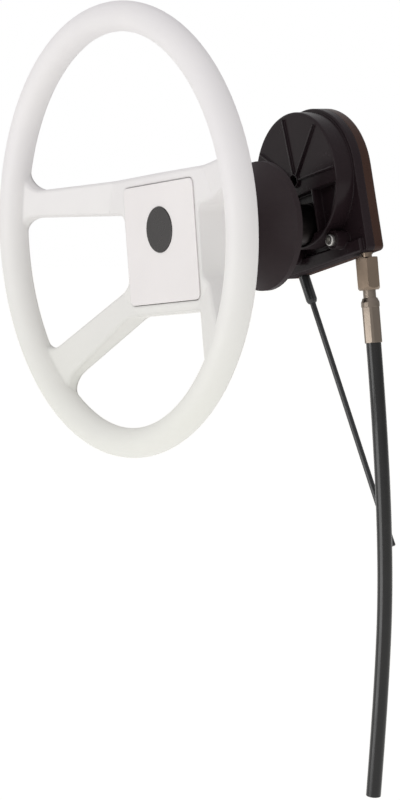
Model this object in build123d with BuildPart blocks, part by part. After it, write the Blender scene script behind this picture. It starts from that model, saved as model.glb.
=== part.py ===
# Boat steering set: a spoked wheel on a geared rotary helm, with its push-pull cable and spent tube.
# Millimetres. +Z is up, +Y points forward through the dashboard, +X is the driver's right.
# The origin is where the shaft's axis meets the dashboard, at the bezel's rear edge.
import os
from math import atan, cos, hypot, pi, radians, sin, sqrt, tan

from build123d import *

# Wheel sizes
WHEEL_TURN = 7.0
RIM_Y = -136.0
RIM_RADIUS = 163.4
GRIP_RADIAL = 11.6
GRIP_AXIAL = 12.0
DISH_DEPTH = 37.0
DISH_FLAT_RADIUS = 76.0
HUB_THICKNESS = 30.0
SPOKE_FLARE = 13.0
SPOKE_EDGE = 1.5
HUB_HALF_WIDTH = 52.5
HUB_TOP = 44.0
HUB_BOTTOM = 66.0
UPPER_SPOKE_LOW = 15.0
UPPER_SPOKE_TOP = 15.6
UPPER_SPOKE_FOOT = 8.3
LOWER_SPOKE_TOP = -36.1
LOWER_SPOKE_FOOT = -48.0
LOWER_SPOKE_HIGH = 39.0
SPOKE_CORNER = 7.0

# Centre pad and badge
PAD_WIDTH = 98.0
PAD_TOP = 36.0
PAD_BOTTOM = 57.0
PAD_CORNER = 5.0
PAD_PROUD = 1.0
PAD_WALL = 2.5
PAD_POCKET = 16.0
PAD_GAP = 0.5
PAD_EDGE = 0.8
BADGE_RADIUS = 18.0
BADGE_THICKNESS = 2.0
BADGE_SUNK = 1.2

# Wheel hub, shaft and gear pair
HUB_INSERT_RADIUS = 21.0
BOSS_RADIUS = 30.0
BOSS_LENGTH = 14.0
SHAFT_RADIUS = 9.5
TAPER_RATIO = 1 / 12
THREAD_RADIUS = 6.35
WASHER_RADIUS = 13.0
WASHER_THICKNESS = 2.0
NUT_FLATS = 19.0
NUT_THICKNESS = 8.0
KEY_WIDTH = 4.8
KEY_LENGTH = 16.0
KEY_DEPTH = 2.4
PINION_TEETH = 12
RING_TEETH = 60
PRESSURE_ANGLE = 20.0
GEAR_WIDTH = 10.0
BACKLASH = 0.12

# Helm case
HELM_TURN = 15.0
FACE_Y = 37.0
POT_DEPTH = 17.0
PARTING_Y = 61.6
REAR_Y = 71.7
CASE_RADIUS = 58.2
POT_RADIUS = CASE_RADIUS - 2.8
CASE_BOTTOM = 70.0
MODULE = (CASE_RADIUS - 1.2) / 38
CENTRE_DISTANCE = MODULE * (RING_TEETH - PINION_TEETH) / 2
CASE_WALL = 3.5
CASE_FLOOR = 2.5
CASE_CORNER = 4.0
COVER_EDGE = 3.0
FAN_RIB_FIRST = -1.0
FAN_RIB_STEP = 47.5
FAN_RIBS = 4
FAN_RIB_WIDTH = 1.5
FAN_RIB_PROUD = 1.8
FAN_REACH = 52.0
FAN_HUB_RADIUS = 5.5
FAN_HUB_PROUD = 2.2
POCKET_DEPTH = 8.0
POCKET_TOP = 12.0
POCKET_LOW = 46.0
POCKET_WEB_X = 20.0
POCKET_WEB_WIDTH = 2.0
LEDGE_PROUD = 4.0
LEDGE_HEIGHT = 11.0
SCREW_X = CASE_RADIUS * 0.533
SCREW_Z = CASE_RADIUS * 0.954
SCREW_BOSS_RADIUS = 7.5
SCREW_BOSS_Y = 41.0
SCREW_RADIUS = 2.5
SCREW_HEAD_RADIUS = 4.6
SCREW_HEAD_HEIGHT = 3.6

# Nose tube, bushes and bezel
NOSE_RADIUS = 16.5
NOSE_BORE = 12.5
NOSE_FRONT_Y = -14.0
NOSE_FLANGE_RADIUS = 17.4
NOSE_FLANGE_THICKNESS = 3.0
BUSH_LENGTH = 14.0
BEZEL_RADIUS = 51.6
BEZEL_FRONT_RADIUS = 27.0
BEZEL_DEPTH = 24.0
BEZEL_WALL = 2.2
BEZEL_LIP = 5.0
CLAMP_NUT_RADIUS = 29.0
CLAMP_NUT_THICKNESS = 7.0

# Drum and cable core
CORE_Y = PARTING_Y + 1.0
CORE_RADIUS = 1.6
DRUM_RIM_RADIUS = CASE_RADIUS - CASE_WALL - 0.7
CORE_CIRCLE = DRUM_RIM_RADIUS - 2.0
DRUM_WEB = 3.0
DRUM_HUB_RADIUS = 10.0
AXLE_RADIUS = 5.0
AXLE_HEAD_RADIUS = 3.2
INLET_TILT = 6.5
OUTLET_TILT = 8.5
OUTLET_LEAN = 5.1

# Cable fittings, in order down the cable's line
SPOUT_RADIUS = 5.2
NECK_RADIUS = 4.5
NECK_LENGTH = 3.2
COUPLING_FLATS = 17.5
COUPLING_LENGTH = 26.1
COUPLING_TURN = 8.0
LOWER_NECK_RADIUS = 5.15
LOWER_NECK_LENGTH = 6.3
SLEEVE_RADIUS = 7.45
SLEEVE_LENGTH = 35.8
SLEEVE_BAND = 7.0
CRIMP_FLATS = 13.9
CABLE_RADIUS = 6.1

# Spent tube
COLLAR_RADIUS = 4.6
COLLAR_LENGTH = 24.5
TUBE_RADIUS = 2.4
TUBE_BORE = 1.85
TUBE_END = 235.0
CAP_RADIUS = 3.3
CAP_LENGTH = 10.0
CAP_WALL = 1.5

# Fits
RUNNING = 0.05
SEAT = 0.3


def turned_plane(y, angle, x=0.0, z=0.0):
    """A plane facing the driver at depth y, turned about the shaft's direction."""
    turn = radians(angle)
    return Plane(origin=(x, y, z), x_dir=(cos(turn), 0, sin(turn)), z_dir=(0, -1, 0))


# The drum's centre lies above the shaft along the helm's own upright
HELM_X = -CENTRE_DISTANCE * sin(radians(HELM_TURN))
HELM_Z = CENTRE_DISTANCE * cos(radians(HELM_TURN))
DRUM_AXIS = Axis((HELM_X, 0, HELM_Z), (0, 1, 0))
DRUM_SECTION = Plane(origin=(HELM_X, 0, HELM_Z), x_dir=(1, 0, 0), z_dir=(0, 0, 1))


def wheel_plane(y):
    return turned_plane(y, WHEEL_TURN)


def helm_plane(y):
    return turned_plane(y, HELM_TURN, HELM_X, HELM_Z)


def helm_point(x, y, z):
    """World place of a point given along the helm's own turned axes from the drum's centre."""
    turn = radians(HELM_TURN)
    return Vector(HELM_X + x * cos(turn) - z * sin(turn), y, HELM_Z + x * sin(turn) + z * cos(turn))


os.makedirs("parts", exist_ok=True)
pieces = {}


def keep(name, part):
    """Label a finished piece and write it under its own name."""
    part.label = name
    pieces[name] = part
    export_step(part, f"parts/{name}.step")


# Steering wheel: four dished spokes cut from one turned blank, joined to the grip
DISH_Y = RIM_Y + DISH_DEPTH
HUB_BACK_Y = DISH_Y + HUB_THICKNESS
PAD_SEAT_Y = DISH_Y + PAD_POCKET
BOSS_BACK_Y = HUB_BACK_Y + BOSS_LENGTH
PAD_MIDDLE = (PAD_TOP - PAD_BOTTOM) / 2
PAD_HEIGHT = PAD_TOP + PAD_BOTTOM
FLARE_RADIUS = RIM_RADIUS - GRIP_RADIAL + 3.0
RIM_FRONT_Y = RIM_Y - 5.0
RIM_BACK_Y = RIM_Y + 2.0


def spoke_tip(angle):
    """Where a spoke's edge ends inside the grip, at an angle above the wheel's own level."""
    return ((RIM_RADIUS - 3) * cos(radians(angle)), (RIM_RADIUS - 3) * sin(radians(angle)))


def on_dish(edge):
    """True for an edge that bounds the wheel's dished front, except the ring where its cone begins."""
    places = [edge @ t for t in (0.1, 0.5, 0.9)]
    radii = [hypot(p.X, p.Z) for p in places]
    slope = (RIM_FRONT_Y - DISH_Y) / (RIM_RADIUS + 1 - DISH_FLAT_RADIUS)
    depths = [DISH_Y + slope * max(r - DISH_FLAT_RADIUS, 0) for r in radii]
    cone_start = all(abs(r - DISH_FLAT_RADIUS) < 0.1 for r in radii)
    on_front = all(abs(p.Y - y) < 0.2 for p, y in zip(places, depths))
    return on_front and not cone_start and max(radii) < RIM_RADIUS - 4


with BuildPart() as steering_wheel:
    with BuildSketch(wheel_plane(HUB_BACK_Y + 5)) as spokes:
        Circle(RIM_RADIUS + 1)
        Circle(FLARE_RADIUS, mode=Mode.SUBTRACT)
        with BuildLine():
            Polyline(
                (0, HUB_TOP),
                spoke_tip(UPPER_SPOKE_TOP),
                spoke_tip(UPPER_SPOKE_FOOT),
                (HUB_HALF_WIDTH, UPPER_SPOKE_LOW),
                (HUB_HALF_WIDTH - 0.5, -LOWER_SPOKE_HIGH),
                spoke_tip(LOWER_SPOKE_TOP),
                spoke_tip(LOWER_SPOKE_FOOT),
                (HUB_HALF_WIDTH - 0.5, -HUB_BOTTOM),
                (0, -HUB_BOTTOM),
                (0, HUB_TOP),
            )
        make_face()
        mirror(about=Plane.YZ)
        fillet(spokes.vertices().filter_by(
            lambda v: hypot(v.X, v.Y) < DISH_FLAT_RADIUS + 10 and abs(v.X) > HUB_HALF_WIDTH / 2), SPOKE_CORNER)
        fillet(spokes.vertices().filter_by(lambda v: abs(hypot(v.X, v.Y) - FLARE_RADIUS) < 0.1), SPOKE_FLARE)
    extrude(amount=HUB_BACK_Y - RIM_Y + 15)
    with BuildSketch(Plane.XY):
        with BuildLine():
            Polyline(
                (0, DISH_Y),
                (DISH_FLAT_RADIUS, DISH_Y),
                (RIM_RADIUS + 1, RIM_FRONT_Y),
                (RIM_RADIUS + 1, RIM_BACK_Y),
                (DISH_FLAT_RADIUS - 12, HUB_BACK_Y),
                (0, HUB_BACK_Y),
                close=True,
            )
        make_face()
    revolve(axis=Axis.Y, mode=Mode.INTERSECT)
    chamfer(steering_wheel.edges().filter_by(on_dish), SPOKE_EDGE)
    with BuildSketch(Plane.XY):
        with Locations((RIM_RADIUS, RIM_Y)):
            Ellipse(GRIP_RADIAL, GRIP_AXIAL)
    revolve(axis=Axis.Y)
    with BuildSketch(Plane.XY):
        with BuildLine():
            Polyline(
                (0, HUB_BACK_Y - 2),
                (BOSS_RADIUS + 6, HUB_BACK_Y - 2),
                (BOSS_RADIUS + 3, HUB_BACK_Y + 2),
                (BOSS_RADIUS, BOSS_BACK_Y),
                (0, BOSS_BACK_Y),
                close=True,
            )
        make_face()
    revolve(axis=Axis.Y)
    with BuildSketch(wheel_plane(PAD_SEAT_Y)):
        with Locations((0, PAD_MIDDLE)):
            RectangleRounded(PAD_WIDTH + 2 * PAD_GAP, PAD_HEIGHT + 2 * PAD_GAP, PAD_CORNER + PAD_GAP)
    extrude(amount=PAD_POCKET + 5, mode=Mode.SUBTRACT)
    with BuildSketch(wheel_plane(BOSS_BACK_Y)):
        Circle(HUB_INSERT_RADIUS)
    extrude(amount=BOSS_BACK_Y - PAD_SEAT_Y + 1, mode=Mode.SUBTRACT)
keep("steering_wheel", steering_wheel.part)

# Centre pad: a shallow cap let into the hub, which covers the wheel nut
PAD_FRONT_Y = DISH_Y - PAD_PROUD

with BuildPart() as wheel_pad:
    with BuildSketch(wheel_plane(PAD_SEAT_Y)):
        with Locations((0, PAD_MIDDLE)):
            RectangleRounded(PAD_WIDTH, PAD_HEIGHT, PAD_CORNER)
    extrude(amount=PAD_POCKET + PAD_PROUD)
    fillet(wheel_pad.faces().sort_by(Axis.Y)[0].edges(), PAD_EDGE)
    with BuildSketch(wheel_plane(PAD_SEAT_Y)):
        with Locations((0, PAD_MIDDLE)):
            RectangleRounded(PAD_WIDTH - 2 * PAD_WALL, PAD_HEIGHT - 2 * PAD_WALL, PAD_CORNER - PAD_WALL)
    extrude(amount=PAD_POCKET + PAD_PROUD - PAD_WALL - BADGE_SUNK, mode=Mode.SUBTRACT)
    with BuildSketch(wheel_plane(PAD_FRONT_Y)):
        Circle(BADGE_RADIUS + 0.1)
    extrude(amount=-BADGE_SUNK, mode=Mode.SUBTRACT)
keep("wheel_pad", wheel_pad.part)

with BuildPart() as pad_badge:
    with BuildSketch(wheel_plane(PAD_FRONT_Y + BADGE_SUNK)):
        Circle(BADGE_RADIUS)
    extrude(amount=BADGE_THICKNESS)
    fillet(pad_badge.faces().sort_by(Axis.Y)[0].edges(), 0.6)
keep("pad_badge", pad_badge.part)

# Hub insert: the metal boss moulded into the wheel, with the tapered bore
TAPER_BACK_Y = BOSS_BACK_Y
TAPER_FRONT_Y = PAD_SEAT_Y
TAPER_FRONT_RADIUS = SHAFT_RADIUS - (TAPER_BACK_Y - TAPER_FRONT_Y) * TAPER_RATIO / 2
BORE_GAP = 0.02

with BuildPart() as hub_insert:
    with BuildSketch(Plane.XY):
        with BuildLine():
            Polyline(
                (SHAFT_RADIUS + BORE_GAP, TAPER_BACK_Y),
                (HUB_INSERT_RADIUS - BORE_GAP, TAPER_BACK_Y),
                (HUB_INSERT_RADIUS - BORE_GAP, TAPER_FRONT_Y),
                (TAPER_FRONT_RADIUS + BORE_GAP, TAPER_FRONT_Y),
                close=True,
            )
        make_face()
    revolve(axis=Axis.Y)
    with BuildSketch(wheel_plane(TAPER_BACK_Y)):
        with Locations((0, SHAFT_RADIUS)):
            Rectangle(KEY_WIDTH + 0.1, KEY_DEPTH * 2)
    extrude(amount=TAPER_BACK_Y - TAPER_FRONT_Y, mode=Mode.SUBTRACT)
keep("hub_insert", hub_insert.part)

# Steering shaft: threaded nose, taper with a keyway, running length and the pinion's seat
THREAD_FRONT_Y = PAD_SEAT_Y - WASHER_THICKNESS - NUT_THICKNESS - 1.5
GEAR_FRONT_Y = 49.8
GEAR_BACK_Y = GEAR_FRONT_Y + GEAR_WIDTH
SHOULDER_Y = GEAR_FRONT_Y - 1.0
PINION_SEAT_RADIUS = 5.0
KEY_MIDDLE_Y = (TAPER_BACK_Y + TAPER_FRONT_Y) / 2

with BuildPart() as steering_shaft:
    with BuildSketch(Plane.XY):
        with BuildLine():
            Polyline(
                (0, THREAD_FRONT_Y),
                (THREAD_RADIUS - 1, THREAD_FRONT_Y),
                (THREAD_RADIUS, THREAD_FRONT_Y + 1),
                (THREAD_RADIUS, TAPER_FRONT_Y + 1),
                (TAPER_FRONT_RADIUS, TAPER_FRONT_Y + 1),
                (SHAFT_RADIUS, TAPER_BACK_Y),
                (SHAFT_RADIUS, SHOULDER_Y),
                (PINION_SEAT_RADIUS, SHOULDER_Y),
                (PINION_SEAT_RADIUS, GEAR_BACK_Y),
                (0, GEAR_BACK_Y),
                close=True,
            )
        make_face()
    revolve(axis=Axis.Y)
    with BuildSketch(wheel_plane(KEY_MIDDLE_Y + KEY_LENGTH / 2)):
        with Locations((0, SHAFT_RADIUS)):
            Rectangle(KEY_WIDTH, KEY_DEPTH * 2)
    extrude(amount=KEY_LENGTH, mode=Mode.SUBTRACT)
keep("steering_shaft", steering_shaft.part)

with BuildPart() as shaft_key:
    with BuildSketch(wheel_plane(KEY_MIDDLE_Y + KEY_LENGTH / 2 - 0.1)):
        with Locations((0, SHAFT_RADIUS)):
            Rectangle(KEY_WIDTH - 0.1, KEY_DEPTH * 2 - 0.3)
    extrude(amount=KEY_LENGTH - 0.2)
keep("shaft_key", shaft_key.part)

with BuildPart() as wheel_washer:
    with BuildSketch(wheel_plane(PAD_SEAT_Y)):
        Circle(WASHER_RADIUS)
        Circle(THREAD_RADIUS + 0.3, mode=Mode.SUBTRACT)
    extrude(amount=WASHER_THICKNESS)
keep("wheel_washer", wheel_washer.part)

with BuildPart() as wheel_nut:
    with BuildSketch(wheel_plane(PAD_SEAT_Y - WASHER_THICKNESS)):
        RegularPolygon(NUT_FLATS / 2, 6, major_radius=False)
        Circle(THREAD_RADIUS + BORE_GAP, mode=Mode.SUBTRACT)
    extrude(amount=NUT_THICKNESS)
    chamfer(wheel_nut.edges().filter_by(lambda e: e.length < NUT_FLATS and e.center().Y < PAD_SEAT_Y - 9
                                        and e.geom_type == GeomType.LINE), 0.8)
keep("wheel_nut", wheel_nut.part)

# Gear pair: the teeth's flanks are involutes, thinned a little for backlash
PINION_PITCH = MODULE * PINION_TEETH / 2
RING_PITCH = MODULE * RING_TEETH / 2
ADDENDUM = 0.8 * MODULE
DEDENDUM = 1.1 * MODULE


def involute_half_angle(pitch_radius, teeth, radius, thinning):
    """Half the angle that an external tooth of this pitch circle spans at the given radius."""
    alpha = radians(PRESSURE_ANGLE)
    base = pitch_radius * cos(alpha)
    at_pitch = pi / (2 * teeth) - thinning / (2 * pitch_radius)
    involute_pitch = tan(alpha) - alpha
    if radius <= base:
        return at_pitch + involute_pitch
    roll = sqrt((radius / base) ** 2 - 1)
    return at_pitch + involute_pitch - (roll - atan(roll))


def flank(pitch_radius, teeth, low, high, thinning, side, steps=4):
    """Points up one flank of a tooth that stands along +Y of its sketch."""
    points = []
    for i in range(steps + 1):
        radius = low + (high - low) * i / steps
        angle = side * involute_half_angle(pitch_radius, teeth, radius, thinning)
        points.append((radius * sin(angle), radius * cos(angle)))
    return points


with BuildPart() as pinion:
    with BuildSketch(turned_plane(GEAR_BACK_Y, HELM_TURN)):
        Circle(PINION_PITCH - DEDENDUM)
        with PolarLocations(0, PINION_TEETH, start_angle=180):
            with BuildSketch(mode=Mode.PRIVATE) as pinion_tooth:
                left = flank(PINION_PITCH, PINION_TEETH, PINION_PITCH - DEDENDUM - 0.3,
                             PINION_PITCH + ADDENDUM, BACKLASH, -1)
                right = flank(PINION_PITCH, PINION_TEETH, PINION_PITCH - DEDENDUM - 0.3,
                              PINION_PITCH + ADDENDUM, BACKLASH, 1)
                with BuildLine():
                    Polyline(*left, *reversed(right), left[0])
                make_face()
            add(pinion_tooth.sketch)
        Circle(PINION_SEAT_RADIUS + BORE_GAP, mode=Mode.SUBTRACT)
    extrude(amount=GEAR_WIDTH)
keep("pinion", pinion.part)

# Drum: an internal ring gear in front, the core's groove round its back edge
DRUM_FRONT_Y = GEAR_FRONT_Y
GROOVE_GAP = 0.35
DRUM_BACK_Y = CORE_Y + CORE_RADIUS + GROOVE_GAP + 1.4
WEB_FRONT_Y = GEAR_BACK_Y + 0.5
RING_OUTER = RING_PITCH + DEDENDUM + 2.0
HUB_FRONT_Y = DRUM_FRONT_Y
COVER_INSIDE_Y = REAR_Y - CASE_FLOOR

with BuildPart() as drum_gear:
    with BuildSketch(DRUM_SECTION):
        with BuildLine():
            Polyline(
                (AXLE_RADIUS + RUNNING, HUB_FRONT_Y),
                (DRUM_HUB_RADIUS, HUB_FRONT_Y),
                (DRUM_HUB_RADIUS, WEB_FRONT_Y),
                (RING_PITCH - ADDENDUM, WEB_FRONT_Y),
                (RING_PITCH - ADDENDUM, DRUM_FRONT_Y),
                (RING_OUTER, DRUM_FRONT_Y),
                (RING_OUTER, CORE_Y - CORE_RADIUS - 1.4),
                (DRUM_RIM_RADIUS, CORE_Y - CORE_RADIUS - 1.4),
                (DRUM_RIM_RADIUS, DRUM_BACK_Y),
                (RING_PITCH - 4, DRUM_BACK_Y),
                (RING_PITCH - 4, WEB_FRONT_Y + DRUM_WEB),
                (DRUM_HUB_RADIUS, WEB_FRONT_Y + DRUM_WEB),
                (DRUM_HUB_RADIUS, COVER_INSIDE_Y - 2.4),
                (AXLE_RADIUS + RUNNING, COVER_INSIDE_Y - 2.4),
                close=True,
            )
        make_face()
        with Locations((CORE_CIRCLE, CORE_Y)):
            Circle(CORE_RADIUS + GROOVE_GAP, mode=Mode.SUBTRACT)
        with Locations((DRUM_RIM_RADIUS, CORE_Y)):
            Rectangle(2 * (DRUM_RIM_RADIUS - CORE_CIRCLE), 2 * (CORE_RADIUS + GROOVE_GAP), mode=Mode.SUBTRACT)
    revolve(axis=DRUM_AXIS)
    with BuildSketch(helm_plane(GEAR_BACK_Y)):
        with PolarLocations(0, RING_TEETH, start_angle=180):
            with BuildSketch(mode=Mode.PRIVATE) as tooth_space:
                with BuildLine():
                    space_left = flank(RING_PITCH, RING_TEETH, RING_PITCH - ADDENDUM - 0.4,
                                       RING_PITCH + DEDENDUM, -BACKLASH, -1, steps=3)
                    space_right = flank(RING_PITCH, RING_TEETH, RING_PITCH - ADDENDUM - 0.4,
                                        RING_PITCH + DEDENDUM, -BACKLASH, 1, steps=3)
                    Polyline(*space_left, *reversed(space_right), space_left[0])
                make_face()
            add(tooth_space.sketch)
    extrude(amount=GEAR_WIDTH + 1, mode=Mode.SUBTRACT)
    with BuildSketch(helm_plane(WEB_FRONT_Y + DRUM_WEB)):
        with PolarLocations(27, 5):
            Circle(8)
    extrude(amount=DRUM_WEB, mode=Mode.SUBTRACT)
keep("drum_gear", drum_gear.part)

# The cable's line into the case and the spent tube's line out of it
INLET_START = helm_point(CORE_CIRCLE * cos(radians(INLET_TILT)), CORE_Y,
                         -CORE_CIRCLE * sin(radians(INLET_TILT)))
INLET_END = helm_point(
    CORE_CIRCLE * cos(radians(INLET_TILT)) - (CASE_BOTTOM - CORE_CIRCLE * sin(radians(INLET_TILT)))
    * tan(radians(INLET_TILT)), CORE_Y, -CASE_BOTTOM)
OUTLET_START = helm_point(-CORE_CIRCLE * cos(radians(OUTLET_TILT)), CORE_Y,
                          -CORE_CIRCLE * sin(radians(OUTLET_TILT)))
OUTLET_END = helm_point(
    -CORE_CIRCLE * cos(radians(OUTLET_TILT)) + (CASE_BOTTOM - CORE_CIRCLE * sin(radians(OUTLET_TILT)))
    * tan(radians(OUTLET_TILT)), CORE_Y, -CASE_BOTTOM)
INLET_DIRECTION = (INLET_END - INLET_START).normalized()
OUTLET_DIRECTION = (OUTLET_END - OUTLET_START).normalized()
LEAN = radians(OUTLET_LEAN)
SPENT_DIRECTION = OUTLET_DIRECTION * cos(LEAN) + Vector(0, sin(LEAN), 0)


def line_plane(start, direction, along=0.0):
    """A plane across a straight run, facing down it."""
    return Plane(origin=start + direction * along, x_dir=(0, 1, 0), z_dir=direction)


# Channels for the fittings and the core, cut alike from both halves of the case
SPOUT_LENGTH = 20.0
SPIGOT_LENGTH = 14.0
SPIGOT_RADIUS = 3.8
CHANNEL_RADIUS = CORE_RADIUS + 0.5
inlet_length = (INLET_END - INLET_START).length
outlet_length = (OUTLET_END - OUTLET_START).length

with BuildPart() as channels:
    with BuildSketch(line_plane(INLET_END, INLET_DIRECTION, 6)):
        Circle(SPOUT_RADIUS + RUNNING)
    extrude(amount=-(SPOUT_LENGTH + 6))
    with BuildSketch(line_plane(INLET_END, INLET_DIRECTION)):
        Circle(CHANNEL_RADIUS)
    extrude(amount=-inlet_length)
    with BuildSketch(line_plane(OUTLET_END, OUTLET_DIRECTION, 6)):
        Circle(SPIGOT_RADIUS + RUNNING)
    extrude(amount=-(SPIGOT_LENGTH + 6))
    with BuildSketch(line_plane(OUTLET_END, OUTLET_DIRECTION)):
        Circle(CHANNEL_RADIUS)
    extrude(amount=-outlet_length)

# Front half of the case: a flat-bottomed arch with a round pot and the fan-ribbed face
STEP_Y = FACE_Y + POT_DEPTH
POCKET_Y = FACE_Y + POCKET_DEPTH
POCKET_BACK_Y = POCKET_Y + CASE_FLOOR
DRUM_ROOM = CASE_RADIUS - CASE_WALL
AXLE_BOSS_RADIUS = 9.0


def case_outline():
    """The arch, its straight sides and its flat bottom, about the drum's centre."""
    with BuildSketch(mode=Mode.PRIVATE) as outline:
        Circle(CASE_RADIUS)
        with Locations((0, -CASE_BOTTOM / 2)):
            Rectangle(2 * CASE_RADIUS, CASE_BOTTOM)
        fillet(outline.vertices().sort_by(Axis.Y)[:2], CASE_CORNER)
    return outline.sketch


with BuildPart() as foot_ledge:
    with BuildSketch(helm_plane(STEP_Y + 2)):
        with Locations((0, LEDGE_HEIGHT / 2 - CASE_BOTTOM)):
            Rectangle(2 * (CASE_RADIUS - CASE_CORNER), LEDGE_HEIGHT)
    extrude(amount=LEDGE_PROUD + 2)
    fillet(foot_ledge.faces().sort_by(Axis.Y)[0].edges(), 1.8)

with BuildPart() as front_housing:
    with BuildSketch(helm_plane(PARTING_Y)):
        add(case_outline())
    extrude(amount=PARTING_Y - STEP_Y)
    fillet(front_housing.faces().sort_by(Axis.Y)[0].edges(), 1.5)
    with BuildSketch(helm_plane(STEP_Y + 3)):
        Circle(POT_RADIUS)
    extrude(amount=POT_DEPTH + 3)
    with BuildSketch(helm_plane(STEP_Y + 3)):
        with Locations((SCREW_X, -SCREW_Z), (-SCREW_X, -SCREW_Z)):
            Circle(SCREW_BOSS_RADIUS)
    extrude(amount=STEP_Y + 3 - SCREW_BOSS_Y)
    fillet(front_housing.faces().sort_by(Axis.Y)[0].edges(), 1.6)
    add(foot_ledge.part)
    with BuildSketch(helm_plane(POCKET_Y)):
        Circle(DRUM_ROOM - 1.2)
        with Locations((0, CASE_RADIUS - POCKET_TOP), (0, -CASE_RADIUS - POCKET_LOW)):
            Rectangle(2 * CASE_RADIUS, 2 * CASE_RADIUS, mode=Mode.SUBTRACT)
        with Locations((POCKET_WEB_X, -CASE_RADIUS), (-POCKET_WEB_X, -CASE_RADIUS)):
            Rectangle(POCKET_WEB_WIDTH, 2 * CASE_RADIUS, mode=Mode.SUBTRACT)
    extrude(amount=POCKET_DEPTH, mode=Mode.SUBTRACT)
    with BuildSketch(Plane.XZ.offset(-POCKET_Y)):
        Circle(NOSE_FLANGE_RADIUS + SEAT)
    extrude(amount=POCKET_DEPTH, mode=Mode.SUBTRACT)
    with BuildSketch(helm_plane(PARTING_Y)):
        Circle(DRUM_ROOM)
    extrude(amount=PARTING_Y - POCKET_BACK_Y, mode=Mode.SUBTRACT)
    with BuildSketch(helm_plane(POCKET_BACK_Y)):
        Circle(DRUM_ROOM - 1.5)
        with Locations((0, -CASE_RADIUS - POCKET_TOP + 3)):
            Rectangle(2 * CASE_RADIUS, 2 * CASE_RADIUS, mode=Mode.SUBTRACT)
        Circle(AXLE_BOSS_RADIUS + 1.5, mode=Mode.SUBTRACT)
    extrude(amount=POCKET_DEPTH, mode=Mode.SUBTRACT)
    with BuildSketch(helm_plane(GEAR_FRONT_Y - 0.4)):
        Circle(AXLE_BOSS_RADIUS)
    extrude(amount=GEAR_FRONT_Y - 0.4 - POCKET_Y)
    with BuildSketch(helm_plane(FACE_Y + 2)):
        Circle(FAN_HUB_RADIUS)
    extrude(amount=FAN_HUB_PROUD + 2)
    with BuildSketch(helm_plane(FACE_Y + 1)):
        with PolarLocations(FAN_REACH / 2, FAN_RIBS, start_angle=FAN_RIB_FIRST, angular_range=FAN_RIB_STEP * FAN_RIBS):
            Rectangle(FAN_REACH, FAN_RIB_WIDTH)
    extrude(amount=FAN_RIB_PROUD + 1)
    with BuildSketch(helm_plane(PARTING_Y)):
        Circle(AXLE_RADIUS + BORE_GAP)
    extrude(amount=PARTING_Y - FACE_Y + 4, mode=Mode.SUBTRACT)
    with BuildSketch(Plane.XZ.offset(-PARTING_Y)):
        Circle(NOSE_RADIUS + BORE_GAP)
    extrude(amount=PARTING_Y - FACE_Y + 6, mode=Mode.SUBTRACT)
    with BuildSketch(helm_plane(PARTING_Y)):
        with Locations((SCREW_X, -SCREW_Z), (-SCREW_X, -SCREW_Z)):
            Circle(SCREW_RADIUS + BORE_GAP)
    extrude(amount=PARTING_Y - SCREW_BOSS_Y + 5, mode=Mode.SUBTRACT)
    add(channels.part, mode=Mode.SUBTRACT)
keep("front_housing", front_housing.part)

# Rear half of the case
with BuildPart() as rear_cover:
    with BuildSketch(helm_plane(REAR_Y)):
        add(case_outline())
    extrude(amount=REAR_Y - PARTING_Y)
    fillet(rear_cover.faces().sort_by(Axis.Y)[-1].edges(), COVER_EDGE)
    with BuildSketch(helm_plane(COVER_INSIDE_Y)):
        Circle(DRUM_ROOM)
    extrude(amount=COVER_INSIDE_Y - PARTING_Y, mode=Mode.SUBTRACT)
    with BuildSketch(helm_plane(COVER_INSIDE_Y)):
        Circle(AXLE_BOSS_RADIUS)
    extrude(amount=2.0)
    with BuildSketch(helm_plane(REAR_Y)):
        Circle(THREAD_RADIUS / 2 + BORE_GAP)
        with Locations((SCREW_X, -SCREW_Z), (-SCREW_X, -SCREW_Z)):
            Circle(SCREW_RADIUS + BORE_GAP)
    extrude(amount=REAR_Y - PARTING_Y + 2, mode=Mode.SUBTRACT)
    add(channels.part, mode=Mode.SUBTRACT)
keep("rear_cover", rear_cover.part)

# Drum axle: a shoulder bolt through the case, with its nut on the rear cover
AXLE_END_Y = COVER_INSIDE_Y - 2.0
AXLE_THREAD = THREAD_RADIUS / 2
AXLE_NUT_FLATS = 10.0
AXLE_NUT_THICKNESS = 4.0

with BuildPart() as drum_axle:
    with BuildSketch(helm_plane(AXLE_END_Y)):
        Circle(AXLE_RADIUS)
    extrude(amount=AXLE_END_Y - FACE_Y - 0.5)
    with BuildSketch(helm_plane(FACE_Y + 3.5)):
        RegularPolygon(AXLE_HEAD_RADIUS, 6)
    extrude(amount=4, mode=Mode.SUBTRACT)
    with BuildSketch(helm_plane(REAR_Y + AXLE_NUT_THICKNESS + 1)):
        Circle(AXLE_THREAD)
    extrude(amount=REAR_Y + AXLE_NUT_THICKNESS + 1 - AXLE_END_Y)
keep("drum_axle", drum_axle.part)

with BuildPart() as axle_nut:
    with BuildSketch(helm_plane(REAR_Y + AXLE_NUT_THICKNESS)):
        RegularPolygon(AXLE_NUT_FLATS / 2, 6, major_radius=False)
        Circle(AXLE_THREAD + BORE_GAP, mode=Mode.SUBTRACT)
    extrude(amount=AXLE_NUT_THICKNESS)
keep("axle_nut", axle_nut.part)

# Case screws through the two corner bosses, and their nuts
SCREW_END_Y = REAR_Y + 5.0

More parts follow.
